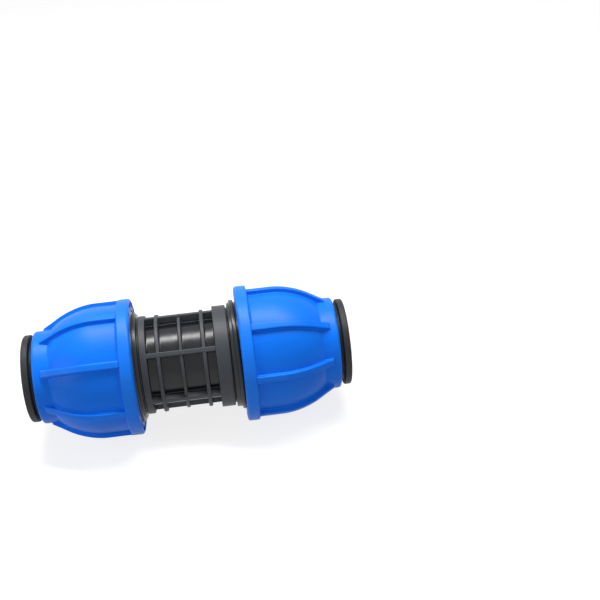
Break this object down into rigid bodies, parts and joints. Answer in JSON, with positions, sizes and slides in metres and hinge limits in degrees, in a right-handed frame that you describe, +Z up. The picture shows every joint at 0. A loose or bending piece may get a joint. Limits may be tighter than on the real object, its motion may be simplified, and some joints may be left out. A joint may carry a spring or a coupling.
{
  "type": "straight pipe connector",
  "caption": "Straight compression coupling for joining two pipe ends: a ribbed grey barrel between blue domed nuts with flanges, ribs and black rubber end rings.",
  "frame": {"origin": "centre of the whole length, on the pipe axis", "axes": "+X along the pipe axis towards the slack nut, +Z up"},
  "size_m": [0.1614, 0.069, 0.069],
  "materials": {
    "nut_plastic": "moulded polypropylene, satin",
    "body_plastic": "moulded polypropylene, satin",
    "washer_plastic": "moulded polypropylene, plain",
    "grip_plastic": "moulded acetal, smooth",
    "ring_rubber": "moulded rubber, dull",
    "seal_rubber": "moulded rubber, smooth"
  },
  "bodies": {
    "barrel": {"coupling_body": "body_plastic", "left_seal": "seal_rubber", "right_seal": "seal_rubber"},
    "left_rings": {"left_end_ring": "ring_rubber", "left_grip_ring": "grip_plastic", "left_thrust_washer": "washer_plastic"},
    "left_nut": {"left_nut": "nut_plastic"},
    "right_rings": {"right_end_ring": "ring_rubber", "right_grip_ring": "grip_plastic", "right_thrust_washer": "washer_plastic"},
    "right_nut": {"right_nut": "nut_plastic"}
  },
  "joints": [
    {"name": "left_nut_advance", "type": "slide", "parent": "barrel", "child": "left_rings", "axis": [-1, 0, 0], "range_m": [0, 0.01261]},
    {"name": "left_nut_turn", "type": "hinge", "parent": "left_rings", "child": "left_nut", "pos_m": [0, 0, 0], "axis": [-1, 0, 0], "range_deg": [0, 1334.12]},
    {"name": "right_nut_advance", "type": "slide", "parent": "barrel", "child": "right_rings", "axis": [1, 0, 0], "range_m": [-0.00561, 0.00701]},
    {"name": "right_nut_turn", "type": "hinge", "parent": "right_rings", "child": "right_nut", "pos_m": [0, 0, 0], "axis": [1, 0, 0], "range_deg": [-592.94, 741.18]}
  ],
  "couplings": [
    {"joint": "left_nut_advance", "follows": "left_nut_turn", "m_per_rad": 0.00054113},
    {"joint": "right_nut_advance", "follows": "right_nut_turn", "m_per_rad": 0.00054113}
  ]
}
